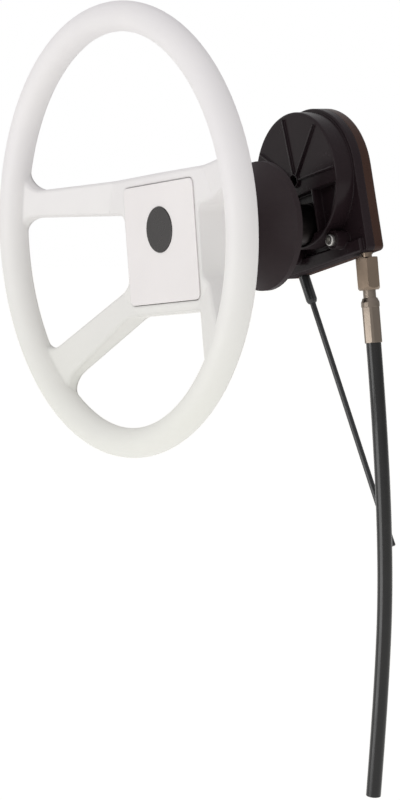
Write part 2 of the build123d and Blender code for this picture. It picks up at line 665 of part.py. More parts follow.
with BuildPart() as case_screws:
    with BuildSketch(helm_plane(SCREW_END_Y)):
        with Locations((SCREW_X, -SCREW_Z), (-SCREW_X, -SCREW_Z)):
            Circle(SCREW_RADIUS)
    extrude(amount=SCREW_END_Y - SCREW_BOSS_Y)
    with BuildSketch(helm_plane(SCREW_BOSS_Y)):
        with Locations((SCREW_X, -SCREW_Z), (-SCREW_X, -SCREW_Z)):
            Circle(SCREW_HEAD_RADIUS)
    extrude(amount=SCREW_HEAD_HEIGHT)
    fillet(case_screws.faces().filter_by(Axis.Y).sort_by(Axis.Y)[:2].edges(), 1.2)
    with BuildSketch(helm_plane(SCREW_BOSS_Y - SCREW_HEAD_HEIGHT)):
        with Locations((SCREW_X, -SCREW_Z), (-SCREW_X, -SCREW_Z)):
            RegularPolygon(SCREW_RADIUS, 6)
    extrude(amount=-2.2, mode=Mode.SUBTRACT)
keep("case_screws", case_screws.part)

with BuildPart() as case_nuts:
    with BuildSketch(helm_plane(REAR_Y + AXLE_NUT_THICKNESS)):
        with Locations((SCREW_X, -SCREW_Z), (-SCREW_X, -SCREW_Z)):
            RegularPolygon(4.0, 6, major_radius=False)
        with Locations((SCREW_X, -SCREW_Z), (-SCREW_X, -SCREW_Z)):
            Circle(SCREW_RADIUS + BORE_GAP, mode=Mode.SUBTRACT)
    extrude(amount=AXLE_NUT_THICKNESS)
keep("case_nuts", case_nuts.part)

# Nose tube: carries the shaft's two bushes and passes through the dashboard
NOSE_BACK_Y = SHOULDER_Y - 1.0
BUSH_WALL_RADIUS = SHAFT_RADIUS + RUNNING
BUSH_COLLAR = 1.5

with BuildPart() as nose_tube:
    with BuildSketch(Plane.XY):
        with BuildLine():
            Polyline(
                (NOSE_BORE, NOSE_FRONT_Y),
                (NOSE_RADIUS - 1, NOSE_FRONT_Y),
                (NOSE_RADIUS, NOSE_FRONT_Y + 1),
                (NOSE_RADIUS, POCKET_Y - NOSE_FLANGE_THICKNESS),
                (NOSE_FLANGE_RADIUS, POCKET_Y - NOSE_FLANGE_THICKNESS),
                (NOSE_FLANGE_RADIUS, POCKET_Y),
                (NOSE_RADIUS, POCKET_Y),
                (NOSE_RADIUS, NOSE_BACK_Y),
                (NOSE_BORE, NOSE_BACK_Y),
                close=True,
            )
        make_face()
    revolve(axis=Axis.Y)
keep("nose_tube", nose_tube.part)


def bush(front_y, back_y, collar_front):
    """A plain bush in the nose tube, with a thin collar at its outer end."""
    with BuildPart() as part:
        with BuildSketch(Plane.XY):
            with Locations(((BUSH_WALL_RADIUS + NOSE_BORE - BORE_GAP) / 2, (front_y + back_y) / 2)):
                Rectangle(NOSE_BORE - BORE_GAP - BUSH_WALL_RADIUS, back_y - front_y)
            if collar_front:
                with Locations(((BUSH_WALL_RADIUS + NOSE_BORE + 2) / 2, front_y - BUSH_COLLAR / 2)):
                    Rectangle(NOSE_BORE + 2 - BUSH_WALL_RADIUS, BUSH_COLLAR)
        revolve(axis=Axis.Y)
    return part.part


keep("front_bush", bush(NOSE_FRONT_Y, NOSE_FRONT_Y + BUSH_LENGTH, True))
keep("rear_bush", bush(NOSE_BACK_Y - BUSH_LENGTH, NOSE_BACK_Y, False))

# Clamp nut on the nose, which the dashboard and the bezel sit against
with BuildPart() as clamp_nut:
    with BuildSketch(Plane.XZ.offset(1)):
        Circle(CLAMP_NUT_RADIUS)
        Circle(NOSE_RADIUS + BORE_GAP, mode=Mode.SUBTRACT)
        with PolarLocations(CLAMP_NUT_RADIUS, 8):
            Rectangle(4, 5, mode=Mode.SUBTRACT)
    extrude(amount=CLAMP_NUT_THICKNESS)
keep("clamp_nut", clamp_nut.part)

# Bezel: a thin cone whose inner ring snaps over the clamp nut
BEZEL_FRONT_Y = -BEZEL_DEPTH
BEZEL_HOLE = SHAFT_RADIUS + 1.5
RING_WALL = 1.8

with BuildPart() as bezel:
    with BuildSketch(Plane.XY):
        with BuildLine():
            Polyline(
                (BEZEL_HOLE, BEZEL_FRONT_Y),
                (BEZEL_FRONT_RADIUS, BEZEL_FRONT_Y),
                (BEZEL_RADIUS, -BEZEL_LIP),
                (BEZEL_RADIUS, 0),
                (BEZEL_RADIUS - BEZEL_WALL, 0),
                (BEZEL_RADIUS - BEZEL_WALL, -BEZEL_LIP + 1),
                (CLAMP_NUT_RADIUS + SEAT + RING_WALL, -16.0),
                (CLAMP_NUT_RADIUS + SEAT + RING_WALL, -1.5),
                (CLAMP_NUT_RADIUS + SEAT, -1.5),
                (CLAMP_NUT_RADIUS + SEAT, BEZEL_FRONT_Y + 5),
                (BEZEL_FRONT_RADIUS - 2, BEZEL_FRONT_Y + BEZEL_WALL),
                (BEZEL_HOLE, BEZEL_FRONT_Y + BEZEL_WALL),
                close=True,
            )
        make_face()
    revolve(axis=Axis.Y)
    fillet(bezel.edges().filter_by(GeomType.CIRCLE).filter_by(
        lambda e: abs(e.center().Y - BEZEL_FRONT_Y) < 0.01 and abs(e.radius - BEZEL_FRONT_RADIUS) < 0.01), 4)
keep("bezel", bezel.part)

# Cable fittings, turned about the cable's line below the case
NECK_END = NECK_LENGTH
COUPLING_END = NECK_END + COUPLING_LENGTH
LOWER_NECK_END = COUPLING_END + LOWER_NECK_LENGTH
SLEEVE_END = LOWER_NECK_END + SLEEVE_LENGTH
FITTING_BORE = CORE_RADIUS + 0.4
SOCKET = 9.0
SLEEVE_SHOULDER = 3.5
CABLE_GRIP = 12.0


def turned(start, direction, profile):
    """A solid turned about a straight run; the profile's points are (radius, distance along)."""
    across = Vector(0, 1, 0).cross(direction).normalized()
    with BuildPart() as part:
        with BuildSketch(Plane(origin=start, x_dir=across, z_dir=across.cross(direction))):
            with BuildLine():
                Polyline(*profile, close=True)
            make_face()
        revolve(axis=Axis(start, direction))
    return part.part


keep("cable_spout", turned(INLET_END, INLET_DIRECTION, [
    (FITTING_BORE, SEAT - SPOUT_LENGTH),
    (SPOUT_RADIUS, SEAT - SPOUT_LENGTH),
    (SPOUT_RADIUS, 1.0),
    (NECK_RADIUS, 1.0),
    (NECK_RADIUS, NECK_END + SOCKET),
    (FITTING_BORE, NECK_END + SOCKET),
]))

with BuildPart() as coupling_nut:
    with BuildSketch(line_plane(INLET_END, INLET_DIRECTION, NECK_END)):
        RegularPolygon(COUPLING_FLATS / 2, 6, major_radius=False, rotation=COUPLING_TURN)
    extrude(amount=COUPLING_LENGTH)
    add(turned(INLET_END, INLET_DIRECTION, [
        (FITTING_BORE, NECK_END - 1),
        (COUPLING_FLATS / 2, NECK_END - 1),
        (COUPLING_FLATS / 2, NECK_END),
        (COUPLING_FLATS * 0.58, NECK_END + 1.4),
        (COUPLING_FLATS * 0.58, COUPLING_END - 3),
        (COUPLING_FLATS / 2 - 1, COUPLING_END),
        (COUPLING_FLATS / 2 - 1, COUPLING_END + 1),
        (FITTING_BORE, COUPLING_END + 1),
    ]), mode=Mode.INTERSECT)
    add(turned(INLET_END, INLET_DIRECTION, [
        (0, NECK_END - 1),
        (NECK_RADIUS + BORE_GAP, NECK_END - 1),
        (NECK_RADIUS + BORE_GAP, NECK_END + SOCKET + SEAT),
        (0, NECK_END + SOCKET + SEAT),
    ]), mode=Mode.SUBTRACT)
    add(turned(INLET_END, INLET_DIRECTION, [
        (0, COUPLING_END + 1),
        (LOWER_NECK_RADIUS + BORE_GAP, COUPLING_END + 1),
        (LOWER_NECK_RADIUS + BORE_GAP, COUPLING_END - SOCKET - SEAT),
        (0, COUPLING_END - SOCKET - SEAT),
    ]), mode=Mode.SUBTRACT)
keep("coupling_nut", coupling_nut.part)

with BuildPart() as crimp_sleeve:
    with BuildSketch(line_plane(INLET_END, INLET_DIRECTION, LOWER_NECK_END)):
        RegularPolygon(CRIMP_FLATS / 2, 6, major_radius=False, rotation=COUPLING_TURN)
    extrude(amount=SLEEVE_LENGTH)
    add(turned(INLET_END, INLET_DIRECTION, [
        (0, LOWER_NECK_END),
        (LOWER_NECK_RADIUS + 0.8, LOWER_NECK_END),
        (SLEEVE_RADIUS, LOWER_NECK_END + SLEEVE_SHOULDER),
        (SLEEVE_RADIUS, SLEEVE_END - 0.6),
        (SLEEVE_RADIUS - 0.5, SLEEVE_END),
        (0, SLEEVE_END),
    ]), mode=Mode.INTERSECT)
    add(turned(INLET_END, INLET_DIRECTION, [
        (0, COUPLING_END - SOCKET),
        (LOWER_NECK_RADIUS, COUPLING_END - SOCKET),
        (LOWER_NECK_RADIUS, LOWER_NECK_END),
        (LOWER_NECK_RADIUS + 0.8, LOWER_NECK_END),
        (SLEEVE_RADIUS, LOWER_NECK_END + SLEEVE_SHOULDER),
        (SLEEVE_RADIUS, LOWER_NECK_END + SLEEVE_BAND),
        (SLEEVE_RADIUS - 0.7, LOWER_NECK_END + SLEEVE_BAND + 0.7),
        (0, LOWER_NECK_END + SLEEVE_BAND + 0.7),
    ]))
    add(turned(INLET_END, INLET_DIRECTION, [
        (0, COUPLING_END - SOCKET - 1),
        (FITTING_BORE, COUPLING_END - SOCKET - 1),
        (FITTING_BORE, SLEEVE_END - CABLE_GRIP - SEAT),
        (CABLE_RADIUS + BORE_GAP, SLEEVE_END - CABLE_GRIP - SEAT),
        (CABLE_RADIUS + BORE_GAP, SLEEVE_END + 1),
        (0, SLEEVE_END + 1),
    ]), mode=Mode.SUBTRACT)
keep("crimp_sleeve", crimp_sleeve.part)

# Cable: a long tube hanging from the sleeve along five points, cut square at its far end
cable_start = INLET_END + INLET_DIRECTION * (SLEEVE_END - CABLE_GRIP)
cable_bend = INLET_END + INLET_DIRECTION * (SLEEVE_END + 55.0)
CABLE_ROUTE = [
    cable_start,
    cable_bend,
    Vector(80.7, CORE_Y, -268.0),
    Vector(76.9, CORE_Y, -366.0),
    Vector(66.7, CORE_Y, -460.0),
]


def bend_radii(points, share=0.45):
    """The bend at each inner point: that share of the shorter run over the half turn's tangent."""
    radii = []
    for before, here, after in zip(points, points[1:], points[2:]):
        turn = radians((here - before).get_angle(after - here))
        radii.append(share * min((here - before).length, (after - here).length) / tan(turn / 2))
    return radii


CABLE_BENDS = bend_radii(CABLE_ROUTE)
print("cable points", [tuple(round(c, 2) for c in p) for p in CABLE_ROUTE])
print("cable bends", [round(r, 1) for r in CABLE_BENDS])

with BuildPart() as cable:
    with BuildLine():
        FilletPolyline(*CABLE_ROUTE, radius=CABLE_BENDS)
    with BuildSketch(line_plane(cable_start, INLET_DIRECTION)):
        Circle(CABLE_RADIUS)
    sweep()
keep("cable", cable.part)

# Cable core: up through the fittings, round the drum and down into the spent collar
with BuildPart() as core_wire:
    core_foot = INLET_END + INLET_DIRECTION * (SLEEVE_END - CABLE_GRIP - SEAT)
    with BuildLine():
        Line(core_foot, INLET_START)
        ThreePointArc(INLET_START, helm_point(0, CORE_Y, CORE_CIRCLE), OUTLET_START)
        Line(OUTLET_START, OUTLET_END)
    with BuildSketch(line_plane(core_foot, INLET_DIRECTION)):
        Circle(CORE_RADIUS)
    sweep()
keep("core_wire", core_wire.part)

# Spent tube: takes the core that comes off the drum; its collar plugs into the case
SPENT_BORE = CORE_RADIUS + 0.35
TUBE_SOCKET = 8.0

with BuildPart() as spent_collar:
    add(turned(OUTLET_END, OUTLET_DIRECTION, [
        (0, SEAT - SPIGOT_LENGTH),
        (SPIGOT_RADIUS, SEAT - SPIGOT_LENGTH),
        (SPIGOT_RADIUS, 0.6),
        (0, 0.6),
    ]))
    add(turned(OUTLET_END, SPENT_DIRECTION, [
        (0, -1),
        (SPIGOT_RADIUS - 0.5, -1),
        (SPIGOT_RADIUS - 0.5, 1.4),
        (COLLAR_RADIUS, 1.4),
        (COLLAR_RADIUS, COLLAR_LENGTH - 3),
        (COLLAR_RADIUS - 0.8, COLLAR_LENGTH - 0.9),
        (COLLAR_RADIUS - 1.8, COLLAR_LENGTH),
        (0, COLLAR_LENGTH),
    ]))
    add(turned(OUTLET_END, OUTLET_DIRECTION, [
        (0, -SPIGOT_LENGTH),
        (SPENT_BORE, -SPIGOT_LENGTH),
        (SPENT_BORE, 2.0),
        (0, 2.0),
    ]), mode=Mode.SUBTRACT)
    add(turned(OUTLET_END, SPENT_DIRECTION, [
        (0, 0),
        (TUBE_BORE, 0),
        (TUBE_BORE, COLLAR_LENGTH - TUBE_SOCKET - SEAT),
        (TUBE_RADIUS + BORE_GAP, COLLAR_LENGTH - TUBE_SOCKET - SEAT),
        (TUBE_RADIUS + BORE_GAP, COLLAR_LENGTH + 1),
        (0, COLLAR_LENGTH + 1),
    ]), mode=Mode.SUBTRACT)
keep("spent_collar", spent_collar.part)

keep("spent_tube", turned(OUTLET_END, SPENT_DIRECTION, [
    (TUBE_BORE, COLLAR_LENGTH - TUBE_SOCKET),
    (TUBE_RADIUS, COLLAR_LENGTH - TUBE_SOCKET),
    (TUBE_RADIUS, TUBE_END - CAP_WALL - SEAT),
    (TUBE_BORE, TUBE_END - CAP_WALL - SEAT),
]))

keep("tube_cap", turned(OUTLET_END, SPENT_DIRECTION, [
    (0, TUBE_END),
    (CAP_RADIUS - 0.6, TUBE_END),
    (CAP_RADIUS, TUBE_END - 0.6),
    (CAP_RADIUS, TUBE_END - CAP_LENGTH),
    (TUBE_RADIUS + BORE_GAP, TUBE_END - CAP_LENGTH),
    (TUBE_RADIUS + BORE_GAP, TUBE_END - CAP_WALL),
    (0, TUBE_END - CAP_WALL),
]))
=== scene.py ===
# %% [markdown]
# # Boat steering set
#
# This lesson dresses a small boat's steering: a dished white wheel, the black gear case behind it,
# the push-pull cable that hangs from the case and the thin tube that takes the cable's spent core.
# The rigid pieces come ready made from the CAD model, each in its place and on the body it moves with.
# What is left is Blender's share: the camera, the flexible cable, the surfaces and the light.

# %% Load the rigid pieces
import math

import bpy
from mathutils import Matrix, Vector


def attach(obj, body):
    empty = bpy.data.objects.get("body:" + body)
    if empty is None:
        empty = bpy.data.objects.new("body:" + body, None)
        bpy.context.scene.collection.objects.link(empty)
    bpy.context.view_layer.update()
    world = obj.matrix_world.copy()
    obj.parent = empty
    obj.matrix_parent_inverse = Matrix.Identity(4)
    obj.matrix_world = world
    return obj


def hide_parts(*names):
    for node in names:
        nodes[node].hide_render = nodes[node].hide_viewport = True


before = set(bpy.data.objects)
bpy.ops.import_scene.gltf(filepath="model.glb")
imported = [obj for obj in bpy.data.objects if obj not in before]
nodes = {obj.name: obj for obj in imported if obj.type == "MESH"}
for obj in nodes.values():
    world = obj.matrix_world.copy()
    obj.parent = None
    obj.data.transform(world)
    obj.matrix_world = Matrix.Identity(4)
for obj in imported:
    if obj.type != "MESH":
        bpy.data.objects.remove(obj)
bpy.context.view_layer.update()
print("rigid pieces:", len(nodes))

# %% [markdown]
# ## The camera
#
# The set is looked at from the driver's right, a little above the steering shaft, through a long lens.
# A camera can be pushed about by eye until the picture looks right, or worked out from a shape that is
# known for certain. The wheel's rim is a true circle, and a circle seen at an angle is an ellipse: its
# squash and tilt give the direction, and its swelling on the near side gives the distance. So the
# distance and the aim are counted in rim radii here, and the lens in pixels of an 800 pixel high frame.

# %% Find the camera's three directions
AZIMUTH = math.radians(55.97)
ELEVATION = math.radians(6.67)
forward = Vector((
    -math.sin(AZIMUTH) * math.cos(ELEVATION),
    math.cos(AZIMUTH) * math.cos(ELEVATION),
    -math.sin(ELEVATION),
))
right = Vector((math.cos(AZIMUTH), math.sin(AZIMUTH), 0.0))
up = right.cross(forward)
print("looking along", [round(v, 3) for v in forward])

# %% Place the camera
RIM_RADIUS = 0.1634
RIM_CENTRE = Vector((0.0, -0.136, 0.0))
DISTANCE = 12
AIM_RIGHT = 0.375
AIM_BELOW = 0.795
FRAME_HEIGHT = 800
FOCAL_PIXELS = 2552.5
SENSOR_HEIGHT = 36.0
camera_data = bpy.data.cameras.new("camera")
camera_data.sensor_fit = "VERTICAL"
camera_data.sensor_height = SENSOR_HEIGHT
camera_data.lens = FOCAL_PIXELS / FRAME_HEIGHT * SENSOR_HEIGHT
camera_data.clip_end = 20.0
camera = bpy.data.objects.new("camera", camera_data)
bpy.context.scene.collection.objects.link(camera)
camera.location = RIM_CENTRE - RIM_RADIUS * (DISTANCE * forward - AIM_RIGHT * right + AIM_BELOW * up)
camera.rotation_euler = forward.to_track_quat("-Z", "Y").to_euler()
bpy.context.scene.camera = camera
print("lens of", round(camera_data.lens, 1), "mm,", round(DISTANCE * RIM_RADIUS, 2), "m from the rim")

# %% [markdown]
# ## The cable's line
#
# A steering cable is a steel core that slides in a stiff plastic jacket about twelve millimetres
# thick. It leaves its crimped sleeve in the sleeve's own direction, swings out and comes slowly back
# under its own weight. The line could be straight runs with rounded corners, but those look like bent
# wire. A NURBS curve of order 3 with a few control points bends evenly all the way, as real cable
# does. The first point lies inside the sleeve, where the jacket is gripped.

# %% Lay the cable's line
ROUTE = [
    (0.06043, 0.0626, -0.08011),
    (0.07033, 0.0626, -0.14637),
    (0.08070, 0.0626, -0.26800),
    (0.07690, 0.0626, -0.36600),
    (0.06670, 0.0626, -0.46000),
]
curve = bpy.data.curves.new("cable_jacket", "CURVE")
curve.dimensions = "3D"
spline = curve.splines.new("NURBS")
spline.points.add(len(ROUTE) - 1)
for point, place in zip(spline.points, ROUTE):
    point.co = (*place, 1.0)
spline.order_u = 3
spline.use_endpoint_u = True
curve.resolution_u = 24
print("cable line of", len(spline.points), "control points,", round(spline.calc_length(), 4), "m long")

# %% [markdown]
# ## The cable's thickness
#
# A curve has no thickness until it is given a bevel, which is a circle swept along it. The thickness
# can be set as the bevel's depth, or as each point's radius, and Blender multiplies the two. But it
# adds the radius alone to the curve's box. So the radius carries the real half thickness here and the
# bevel stays at one, which keeps the box as slim as the cable. The ends are capped, because the
# jacket is cut off square and bare below.

# %% Give the line its thickness
CABLE_DIAMETER = 0.0122
for point in spline.points:
    point.radius = CABLE_DIAMETER / 2
curve.bevel_depth = 1.0
curve.bevel_resolution = 8
curve.use_fill_caps = True
cable_jacket = bpy.data.objects.new("cable_jacket", curve)
bpy.context.scene.collection.objects.link(cable_jacket)
print("jacket", CABLE_DIAMETER * 1000, "mm thick")

# %% Hang the cable on the case
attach(cable_jacket, "helm")
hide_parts("cable")
print("the cable hangs from the case and replaces the plain CAD one")

# %% [markdown]
# ## Surfaces that know their place
#
# A finish can be a flat colour, a picture wrapped round the piece, or a recipe of nodes. A flat colour
# looks like a toy, and a picture blurs close up and needs unwrapping. A recipe that reads each point's
# own place in metres needs neither: its grain keeps its real size on a nut and on a wheel, and it
# turns with the piece. The first helper makes the bare material that every finish here starts from.


# %% Start a material
def surface(name, colour, roughness, metallic=0.0):
    """A new material, its node tree, its shader and each point's place on the piece."""
    material = bpy.data.materials.new(name)
    material.use_nodes = True
    tree = material.node_tree
    shader = tree.nodes["Principled BSDF"]
    shader.inputs["Base Color"].default_value = (*colour, 1.0)
    shader.inputs["Roughness"].default_value = roughness
    shader.inputs["Metallic"].default_value = metallic
    place = tree.nodes.new("ShaderNodeTexCoord").outputs["Object"]
    print("material", name, "with roughness", roughness)
    return material, tree, shader, place


# %% [markdown]
# ## Unevenness from noise
#
# No moulded or plated surface is even. Its colour drifts over a hand's width and its gloss over a
# finger's. Painting that by hand would repeat or stop at a seam, but noise never does. Blender's
# noise keeps near the middle of its range, so it is stretched first, and then it either mixes two near
# colours or moves the roughness a little way up and down.


# %% Make noise useful
NOISE_LOW = 0.3
NOISE_HIGH = 0.7


def noise(tree, place, scale, detail=3.0, stretch=None):
    """Noise at a scale per metre; stretch squeezes it one way, as on brushed or drawn metal."""
    if stretch:
        mapping = tree.nodes.new("ShaderNodeMapping")
        mapping.inputs["Scale"].default_value = stretch
        tree.links.new(place, mapping.inputs["Vector"])
        place = mapping.outputs["Vector"]
    texture = tree.nodes.new("ShaderNodeTexNoise")
    texture.inputs["Scale"].default_value = scale
    texture.inputs["Detail"].default_value = detail
    tree.links.new(place, texture.inputs["Vector"])
    return texture.outputs["Fac"]


def between(tree, value, low, high):
    """Spread the middle of a noise over the range from low to high."""
    node = tree.nodes.new("ShaderNodeMapRange")
    node.inputs["From Min"].default_value = NOISE_LOW
    node.inputs["From Max"].default_value = NOISE_HIGH
    node.inputs["To Min"].default_value = low
    node.inputs["To Max"].default_value = high
    tree.links.new(value, node.inputs["Value"])
    return node.outputs["Result"]


def blend_colours(tree, share, low, high):
    """Mix two colours by a share from 0 to 1; either may be a colour or a node's output."""
    node = tree.nodes.new("ShaderNodeMix")
    node.data_type = "RGBA"
    for socket, colour in (("A", low), ("B", high)):
        if isinstance(colour, tuple):
            node.inputs[socket].default_value = (*colour, 1.0)
        else:
            tree.links.new(colour, node.inputs[socket])
    tree.links.new(share, node.inputs["Factor"])
    return node.outputs["Result"]


print("noise, range and colour helpers are ready")

# %% [markdown]
# ## The recipe for moulded plastic
#
# Vinyl, case plastic and cable jacket all come out of a mould or a die with a fine grain on them. The
# grain could be real geometry, but at a fraction of a millimetre it would need millions of faces. A
# bump node only tilts the shading, which is all that the eye sees of it. Three noises are enough: slow
# for colour, quicker for gloss and very fine for grain. Their scales count the waves in a metre.


# %% Mould a plastic
COLOUR_SCALE = 14.0
GLOSS_SCALE = 60.0
GLOSS_SWING = 0.05
GRAIN_STRENGTH = 0.35


def moulded(name, colour, colour_2, roughness, grain, depth, specular=0.5):
    """Plastic with drifting colour, uneven gloss and a grain of the given depth in metres."""
    material, tree, shader, place = surface(name, colour, roughness)
    drift = between(tree, noise(tree, place, COLOUR_SCALE), 0.0, 1.0)
    tree.links.new(blend_colours(tree, drift, colour, colour_2), shader.inputs["Base Color"])
    swing = noise(tree, place, GLOSS_SCALE)
    gloss = between(tree, swing, roughness - GLOSS_SWING, roughness + GLOSS_SWING)
    tree.links.new(gloss, shader.inputs["Roughness"])
    shader.inputs["Specular IOR Level"].default_value = specular
    relief = tree.nodes.new("ShaderNodeBump")
    relief.name = "Grain"
    relief.inputs["Strength"].default_value = GRAIN_STRENGTH
    relief.inputs["Distance"].default_value = depth
    tree.links.new(noise(tree, place, grain, 4.0), relief.inputs["Height"])
    tree.links.new(relief.outputs["Normal"], shader.inputs["Normal"])
    return material


# %% Dress a rigid piece
SHARP_ANGLE = math.radians(32)


def dress(names, material):
    """Put a finish on rigid pieces, smooth their curved faces and keep their corners crisp."""
    for name in names:
        mesh = nodes[name].data
        mesh.materials.clear()
        mesh.materials.append(material)
        for face in mesh.polygons:
            face.use_smooth = True
        mesh.set_sharp_from_angle(angle=SHARP_ANGLE)
        print(name, "wears", material.name, "on", len(mesh.polygons), "faces")


# %% [markdown]
# ## Soft edges
#
# The vinyl of the wheel is a skin some millimetres thick, so no edge of it is sharp, and where a
# spoke runs into the rim the two melt together. Bevels on every edge of the mesh would be the honest
# way, but the rigid pieces stay as they are. The Bevel node does it in the shading: it looks round
# each point for other faces within a radius and averages their directions, so an edge catches light
# as a rounded one does.


# %% Soften edges in the shading
def soften(material, radius):
    """Shade a material's edges as if they were rounded to this radius in metres."""
    tree = material.node_tree
    rounding = tree.nodes.new("ShaderNodeBevel")
    rounding.samples = 8
    rounding.inputs["Radius"].default_value = radius
    tree.links.new(rounding.outputs["Normal"], tree.nodes["Grain"].inputs["Normal"])
    print(material.name, "has edges softened over", round(radius * 1000, 2), "mm")


# %% [markdown]
# ## White vinyl on the wheel
#
# The rim and spokes are one moulding of satin white vinyl, faintly rosy above and cream low down.
# The cream is painted light: the warm glow that a room throws up from below, painted into the
# vinyl's colour. A painted mask could hold it, but it only follows height, so each point's own
# height on the wheel mixes the untinted colour with the cream. This painted light sits on the wheel
# and turns with it. The grain is leather-fine and the edges are very soft.

# %% Mould the white vinyl
wheel_vinyl = moulded(
    "white_vinyl",
    (0.80, 0.78, 0.785),
    (0.83, 0.81, 0.81),
    roughness=0.48,
    grain=1600.0,
    depth=0.00008,
    specular=0.25,
)
soften(wheel_vinyl, 0.004)


# %% Paint warm light on it below
def paint_warm_light_below(material, cream, untinted_height, painted_warm_height):
    """Paint warm light: turn the colour to cream between two heights on the piece, in metres."""
    tree = material.node_tree
    shader = tree.nodes["Principled BSDF"]
    untinted = shader.inputs["Base Color"].links[0].from_socket
    height = tree.nodes.new("ShaderNodeSeparateXYZ")
    tree.links.new(tree.nodes["Texture Coordinate"].outputs["Object"], height.inputs["Vector"])
    warm_share = tree.nodes.new("ShaderNodeMapRange")
    warm_share.inputs["From Min"].default_value = untinted_height
    warm_share.inputs["From Max"].default_value = painted_warm_height
    tree.links.new(height.outputs["Z"], warm_share.inputs["Value"])
    tree.links.new(blend_colours(tree, warm_share.outputs["Result"], untinted, cream), shader.inputs["Base Color"])
    print(material.name, "is fresh above", untinted_height, "m and painted_warm below", painted_warm_height, "m")


# The cream below is painted light: a warm glow from below, painted into the vinyl's colour.
paint_warm_light_below(wheel_vinyl, cream=(0.80, 0.80, 0.755), untinted_height=0.05, painted_warm_height=-0.13)
dress(["steering_wheel"], wheel_vinyl)

# %% [markdown]
# ## The pad over the hub
#
# A separate cover is pushed into the middle of the wheel and hides the nut. It is the same vinyl from
# another mould, a shade lighter and a little glossier, so it gets its own material rather than the
# wheel's. That small step in tone is what makes it read as a part of its own. A plain disc of
# glossier black plastic closes the hole in its middle.

# %% Mould the pad and its badge
pad_vinyl = moulded(
    "pad_vinyl",
    (0.82, 0.79, 0.785),
    (0.85, 0.82, 0.815),
    roughness=0.38,
    grain=1600.0,
    depth=0.00008,
)
dress(["wheel_pad"], pad_vinyl)
badge_black = moulded(
    "badge_black",
    (0.011, 0.008, 0.008),
    (0.015, 0.0115, 0.0115),
    roughness=0.28,
    grain=900.0,
    depth=0.00002,
)
dress(["pad_badge"], badge_black)

# %% [markdown]
# ## The black gear case
#
# The front housing is glass-filled nylon, a black with some red in it, glossy on the faces that the
# polished mould formed. The faces that look down carry the dull finish of the mould's split. Two
# materials on one piece would need its faces sorted, so one material asks each face which way it
# points and raises the roughness where it points down. The gloss is kept low in strength, because a
# full-strength one turns black plastic grey under a white sky.

# %% Mould the case black
case_black = moulded(
    "case_black",
    (0.0148, 0.0090, 0.0108),
    (0.0195, 0.0122, 0.0145),
    roughness=0.24,
    grain=900.0,
    depth=0.00006,
    specular=0.13,
)
soften(case_black, 0.0014)


# %% Dull the faces below
DULL_STARTS = -0.6
DULL_FULLY = -0.9


def dull_below(material, roughness):
    """Raise the roughness of faces that look down."""
    tree = material.node_tree
    shader = tree.nodes["Principled BSDF"]
    gloss = shader.inputs["Roughness"].links[0].from_socket
    facing = tree.nodes.new("ShaderNodeSeparateXYZ")
    geometry = tree.nodes.new("ShaderNodeNewGeometry")
    tree.links.new(geometry.outputs["True Normal"], facing.inputs["Vector"])
    share = tree.nodes.new("ShaderNodeMapRange")
    share.inputs["From Min"].default_value = DULL_STARTS
    share.inputs["From Max"].default_value = DULL_FULLY
    tree.links.new(facing.outputs["Z"], share.inputs["Value"])
    node = tree.nodes.new("ShaderNodeMix")
    tree.links.new(share.outputs["Result"], node.inputs["Factor"])
    tree.links.new(gloss, node.inputs["A"])
    node.inputs["B"].default_value = roughness
    tree.links.new(node.outputs["Result"], shader.inputs["Roughness"])
    print(material.name, "is dull where it looks down")


dull_below(case_black, roughness=0.95)
dress(["front_housing"], case_black)

# %% [markdown]
# ## The brown rear cover
#
# The rear cover is a second moulding in a chocolate brown that only shows as a strip along the case's
# edge and as the whole back. The same recipe serves, with a redder pair of colours. It is mixed darker
# than it looks in a paint chart, because plastic this glossy adds white of its own.

# %% Mould the cover brown
cover_brown = moulded(
    "cover_brown",
    (0.034, 0.0145, 0.0095),
    (0.048, 0.021, 0.0135),
    roughness=0.28,
    grain=900.0,
    depth=0.00006,
    specular=0.2,
)
soften(cover_brown, 0.0014)
dull_below(cover_brown, roughness=0.95)
dress(["rear_cover"], cover_brown)

# %% [markdown]
# ## The bezel on the dashboard
#
# The round bezel stands in front of the case and hides the hole in the dashboard. It is moulded in a
# flat black that shows no sharp reflection, so its roughness is twice the case's. Nothing else sets
# black plastics apart: the eye tells them by how wide the light spreads on them, not by their colour.

# %% Mould the bezel
bezel_black = moulded(
    "bezel_black",
    (0.0235, 0.0160, 0.0180),
    (0.0275, 0.0190, 0.0212),
    roughness=0.5,
    grain=1400.0,
    depth=0.00006,
    specular=0.14,
)
dress(["bezel"], bezel_black)

# %% [markdown]
# ## Cable jacket and spent tube
#
# The jacket is extruded, not moulded, so it is smooth along its length and shiny enough to carry one
# long light streak. The thin tube beside it is a harder, slightly bluer plastic, and its collar and
# cap match it. A rubber look with a wide dull sheen would be wrong for both. The curve takes its
# material straight into its own data, as it is no rigid piece.

# %% Extrude the jacket and the tube
jacket_black = moulded(
    "jacket_black",
    (0.007, 0.007, 0.007),
    (0.011, 0.011, 0.011),
    roughness=0.22,
    grain=500.0,
    depth=0.00006,
    specular=0.38,
)
cable_jacket.data.materials.append(jacket_black)
dress(["cable"], jacket_black)
tube_black = moulded(
    "tube_black",
    (0.012, 0.013, 0.014),
    (0.018, 0.019, 0.020),
    roughness=0.32,
    grain=700.0,
    depth=0.00005,
)
dress(["spent_collar", "spent_tube", "tube_cap"], tube_black)

# %% [markdown]
# ## Nylon inside
#
# The drum that drives the cable and the two bushes that carry the shaft are unpainted nylon, a milky
# ivory. They hardly show, but the set may be opened or turned, so they are finished like the rest.
# Real nylon lets some light in. At this size a pale colour and a soft gloss say the same for less.

# %% Mould the nylon
nylon_ivory = moulded(
    "nylon",
    (0.62, 0.60, 0.54),
    (0.68, 0.66, 0.60),
    roughness=0.45,
    grain=900.0,
    depth=0.00004,
)
dress(["drum_gear", "front_bush", "rear_bush"], nylon_ivory)

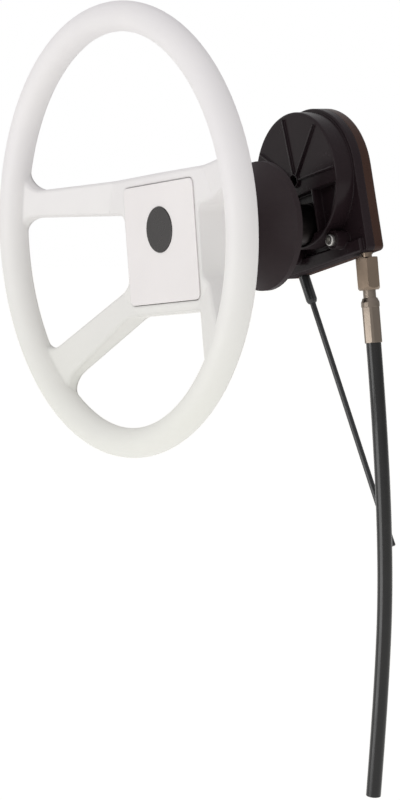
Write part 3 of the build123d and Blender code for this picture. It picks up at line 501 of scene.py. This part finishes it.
# %% [markdown]
# ## The recipe for plated and machined metal
#
# Most metal parts here are turned or stamped and then plated. Plating is blotched in tone, and the
# tool leaves lines under it. A mirror-clean metal would only show the room, so two near colours are
# mixed by a broad noise and the gloss drifts a little. A fine noise would look like dirt on parts
# this small. A third noise, squeezed along one axis, makes the tool lines.


# %% Plate a metal
BLOTCH_SCALE = 45.0
SHINE_SCALE = 110.0
LINE_SCALE = 900.0
LINE_DEPTH = 0.00002
LINE_STRENGTH = 0.3
SHINIER = 0.04
DULLER = 0.05


def metal(name, colour, colour_2, roughness, stretch):
    """Metal with blotched plating, uneven gloss and faint tool lines."""
    material, tree, shader, place = surface(name, colour, roughness, 1.0)
    blotch = between(tree, noise(tree, place, BLOTCH_SCALE, 2.0), 0.0, 1.0)
    tree.links.new(blend_colours(tree, blotch, colour, colour_2), shader.inputs["Base Color"])
    shine = noise(tree, place, SHINE_SCALE, 2.0)
    gloss = between(tree, shine, roughness - SHINIER, roughness + DULLER)
    tree.links.new(gloss, shader.inputs["Roughness"])
    lines = tree.nodes.new("ShaderNodeBump")
    lines.name = "Tool lines"
    lines.inputs["Strength"].default_value = LINE_STRENGTH
    lines.inputs["Distance"].default_value = LINE_DEPTH
    tree.links.new(noise(tree, place, LINE_SCALE, 2.0, stretch), lines.inputs["Height"])
    tree.links.new(lines.outputs["Normal"], shader.inputs["Normal"])
    return material


# %% [markdown]
# ## Nickel and steel at the cable's end
#
# The spout and the coupling nut are dull nickel over brass, so they look warm and a little
# brown. The sleeve below is plain steel, crimped onto the jacket, greyer and a bit lighter. Both
# colours are darker than a metal chart gives: that darkness is painted reflection, standing in for
# the dark surroundings that real metal mirrors and this bright room lacks. The core wire, the shaft's
# key and the pinion are the same steel.

# %% Plate the fittings
# Both pairs of colours are darkened as painted reflection of dark surroundings.
warm_nickel = metal(
    "warm_nickel",
    (0.245, 0.190, 0.146),
    (0.215, 0.166, 0.127),
    roughness=0.30,
    stretch=(1, 1, 6),
)
dress(["cable_spout", "coupling_nut"], warm_nickel)
machined_steel = metal(
    "machined_steel",
    (0.225, 0.188, 0.156),
    (0.195, 0.163, 0.135),
    roughness=0.32,
    stretch=(1, 6, 1),
)
dress(["crimp_sleeve", "core_wire", "shaft_key", "pinion"], machined_steel)

# %% [markdown]
# ## Zinc on shaft and fasteners
#
# The shaft, the wheel's nut and washer, and the screws and nuts that hold the case are bright zinc
# plate, the lightest metal of the set. It gets a colder and paler pair of colours than the nickel,
# and its lines run along the shaft, as on drawn bar.

# %% Plate the zinc parts
zinc_plate = metal(
    "zinc_plate",
    (0.52, 0.51, 0.49),
    (0.42, 0.41, 0.39),
    roughness=0.34,
    stretch=(1, 1, 6),
)
dress(["hub_insert", "steering_shaft", "wheel_washer", "wheel_nut"], zinc_plate)
dress(["axle_nut", "case_screws", "case_nuts"], zinc_plate)

# %% [markdown]
# ## Blackened metal
#
# The tube round the shaft, its clamping nut and the drum's axle are blackened, so that they vanish
# behind the wheel. Black paint would be the quick way, but blackened metal still mirrors the light
# weakly. It stays a metal in the shader, only with a nearly black colour. No tool lines show on it,
# so the third noise isn't squeezed here and leaves an even grain.

# %% Blacken the tube
blackened_metal = metal(
    "blackened_metal",
    (0.030, 0.025, 0.025),
    (0.020, 0.017, 0.017),
    roughness=0.38,
    stretch=(1, 1, 1),
)
dress(["nose_tube", "clamp_nut", "drum_axle"], blackened_metal)

# %% [markdown]
# ## The floor
#
# The set hangs free, so the floor is only a pale plane well below the cable's end that sends soft
# light up. A grey floor would need a strong lamp to look white, and that lamp would burn out the
# wheel. A weak glow of its own lifts it to white instead.

# %% Lay the floor
FLOOR_HEIGHT = -1.20
FLOOR_SIZE = 80.0
FLOOR_GLOW = 0.35
bpy.ops.mesh.primitive_plane_add(size=FLOOR_SIZE, location=(0, 0, FLOOR_HEIGHT))
floor = bpy.context.active_object
floor.name = "floor"
floor_pale, _, floor_shader, _ = surface("floor_pale", (0.92, 0.92, 0.92), 0.9)
floor_shader.inputs["Emission Color"].default_value = (1.0, 1.0, 0.93, 1.0)
floor_shader.inputs["Emission Strength"].default_value = FLOOR_GLOW
floor.data.materials.append(floor_pale)
print("floor at", FLOOR_HEIGHT, "m")

# %% [markdown]
# ## The room's light
#
# Most of the light comes from all round, as in a white tent. An even white world would flatten the
# wheel, so it is brightest behind and above the driver and dimmest beyond the dashboard: the dot
# product of each direction with the bright one gives that fall. The camera itself should see plain
# white, so the Light Path node picks between the two. A touch of cream from below and of rose from
# above warms the white vinyl as a real room does.

# %% Make the world
LIGHT_FROM = (0.0, -0.83, 0.55)
LIGHT_LOW = 0.43
LIGHT_HIGH = 1.16
world = bpy.data.worlds.new("studio")
world.use_nodes = True
room = world.node_tree
direction = room.nodes.new("ShaderNodeTexCoord").outputs["Generated"]
lean = room.nodes.new("ShaderNodeVectorMath")
lean.operation = "DOT_PRODUCT"
lean.inputs[1].default_value = LIGHT_FROM
room.links.new(direction, lean.inputs[0])
fall = room.nodes.new("ShaderNodeMapRange")
fall.inputs["From Min"].default_value = -1.0
fall.inputs["From Max"].default_value = 1.0
fall.inputs["To Min"].default_value = LIGHT_LOW
fall.inputs["To Max"].default_value = LIGHT_HIGH
room.links.new(lean.outputs["Value"], fall.inputs["Value"])
lighting = room.nodes.new("ShaderNodeBackground")
room.links.new(fall.outputs["Result"], lighting.inputs["Strength"])
print("room light from", LIGHT_LOW, "to", LIGHT_HIGH)

# %% Tint it from below and above
TINT_BELOW = (0.79, 0.81, 0.745)
TINT_ABOVE = (0.795, 0.785, 0.80)
ALL_BELOW = -0.7
ALL_ABOVE = 0.5
split = room.nodes.new("ShaderNodeSeparateXYZ")
room.links.new(direction, split.inputs["Vector"])
climb = room.nodes.new("ShaderNodeMapRange")
climb.inputs["From Min"].default_value = ALL_BELOW
climb.inputs["From Max"].default_value = ALL_ABOVE
room.links.new(split.outputs["Z"], climb.inputs["Value"])
tinted = blend_colours(room, climb.outputs["Result"], TINT_BELOW, TINT_ABOVE)
room.links.new(tinted, lighting.inputs["Color"])
print("cream below, rose above")

# %% Let the camera see plain white
seen = room.nodes["Background"]
seen.inputs["Color"].default_value = (1.0, 1.0, 1.0, 1.0)
seen.inputs["Strength"].default_value = 1.0
chooser = room.nodes.new("ShaderNodeMixShader")
rays = room.nodes.new("ShaderNodeLightPath")
room.links.new(rays.outputs["Is Camera Ray"], chooser.inputs["Fac"])
room.links.new(lighting.outputs["Background"], chooser.inputs[1])
room.links.new(seen.outputs["Background"], chooser.inputs[2])
room.links.new(chooser.outputs["Shader"], room.nodes["World Output"].inputs["Surface"])
bpy.context.scene.world = world
bpy.context.scene.view_settings.view_transform = "Standard"
print("world nodes:", len(room.nodes))

# %% [markdown]
# ## Two lamps
#
# The room alone leaves black plastic dead, because a black thing shows only what it reflects. So
# it is lit as a photographer would light it, with panels placed where their reflection is wanted.
# A key panel above the driver models the wheel. A tall panel in front draws the light streak down
# the cable. It is kept out of the diffuse light, so that it can be strong in the gloss and leave
# the white vinyl alone.


# %% Hang the lamps
def lamp(name, place, target, width, height, power, gloss_only=False):
    """A rectangular panel of light in watts, aimed at a point; gloss_only keeps it off the matt."""
    panel = bpy.data.lights.new(name, "AREA")
    panel.shape = "RECTANGLE"
    panel.size = width
    panel.size_y = height
    panel.energy = power
    hung = bpy.data.objects.new(name, panel)
    bpy.context.scene.collection.objects.link(hung)
    hung.location = place
    aim = Vector(target) - Vector(place)
    hung.rotation_euler = aim.to_track_quat("-Z", "Y").to_euler()
    hung.visible_diffuse = not gloss_only
    print(name, "panel,", power, "W at", round(aim.length, 2), "m")


lamp(
    "key",
    place=(0.3, -1.8, 1.0),
    target=(0.0, -0.05, 0.0),
    width=0.8,
    height=0.8,
    power=2.5,
)
lamp(
    "streak",
    place=(-0.1, -2.1, -0.6),
    target=(0.07, 0.06, -0.5),
    width=1.8,
    height=2.0,
    power=38.0,
    gloss_only=True,
)
